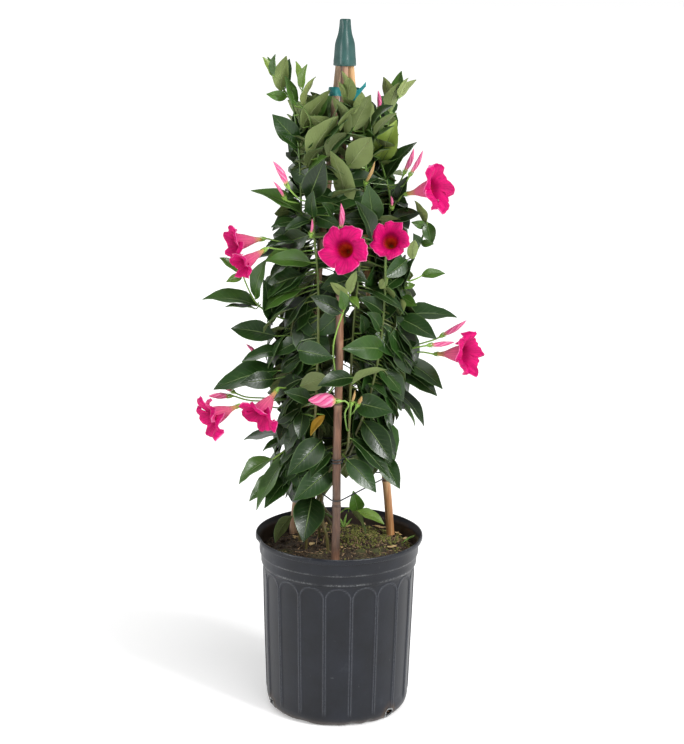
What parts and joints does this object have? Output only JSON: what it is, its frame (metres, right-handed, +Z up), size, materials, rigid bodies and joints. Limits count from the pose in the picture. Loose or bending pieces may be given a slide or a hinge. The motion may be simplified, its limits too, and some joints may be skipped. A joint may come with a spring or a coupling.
{
  "type": "potted flowering vine",
  "caption": "Pink-flowering mandevilla vine with glossy dark leaves, climbing bamboo stakes that meet in a green cap, in a black fluted nursery pot",
  "frame": {"origin": "middle of the pot's underside, on the surface that the pot stands on", "axes": "+Z up along the pot's axis, +X to the right and -Y to the front as the picture shows it"},
  "size_m": [0.4252, 0.254, 1.028],
  "materials": {
    "pot": "moulded black polyethylene with a dull sheen",
    "soil": "damp dark peat with bark and moss",
    "bamboo": "weathered bamboo cane",
    "cap": "satin dark teal green plastic",
    "tape": "stretched turquoise tie tape",
    "wire": "dark coated wire",
    "petal": "velvety hot pink petal",
    "bud": "smooth pink bud with paler folds",
    "foliage": "glossy dark green leaf, paler underneath"
  },
  "bodies": {
    "root": {"pot": "pot", "soil": "soil", "stake_front": "bamboo", "stake_right": "bamboo", "stake_left": "bamboo", "stake_cap": "cap", "tie_tape": "tape", "wire_hoop_low": "wire", "wire_hoop_high": "wire", "flower_centre": "petal", "flower_right_centre": "petal", "flower_top_right": "petal", "flower_left_upper": "petal", "flower_left_lower": "petal", "flower_low_left": "petal", "flower_low_left_inner": "petal", "flower_low_right": "petal", "bud_left_top": "bud", "bud_left_top_small": "bud", "bud_right_top_a": "bud", "bud_right_top_b": "bud", "bud_crown": "bud", "bud_amber": "bud", "bud_over_flower": "bud", "bud_slender": "bud", "bud_behind_flower": "bud", "bud_low_right_a": "bud", "bud_low_right_b": "bud", "bud_low_left_a": "bud", "bud_low_left_b": "bud", "bud_left_small": "bud", "bud_middle": "bud", "bud_middle_small_a": "bud", "bud_middle_small_b": "bud", "vine_left": "foliage", "vine_left_front": "foliage", "vine_left_back": "foliage", "vine_front": "foliage", "vine_right": "foliage", "vine_right_back": "foliage", "vine_back": "foliage", "vine_right_front": "foliage"}
  },
  "joints": []
}
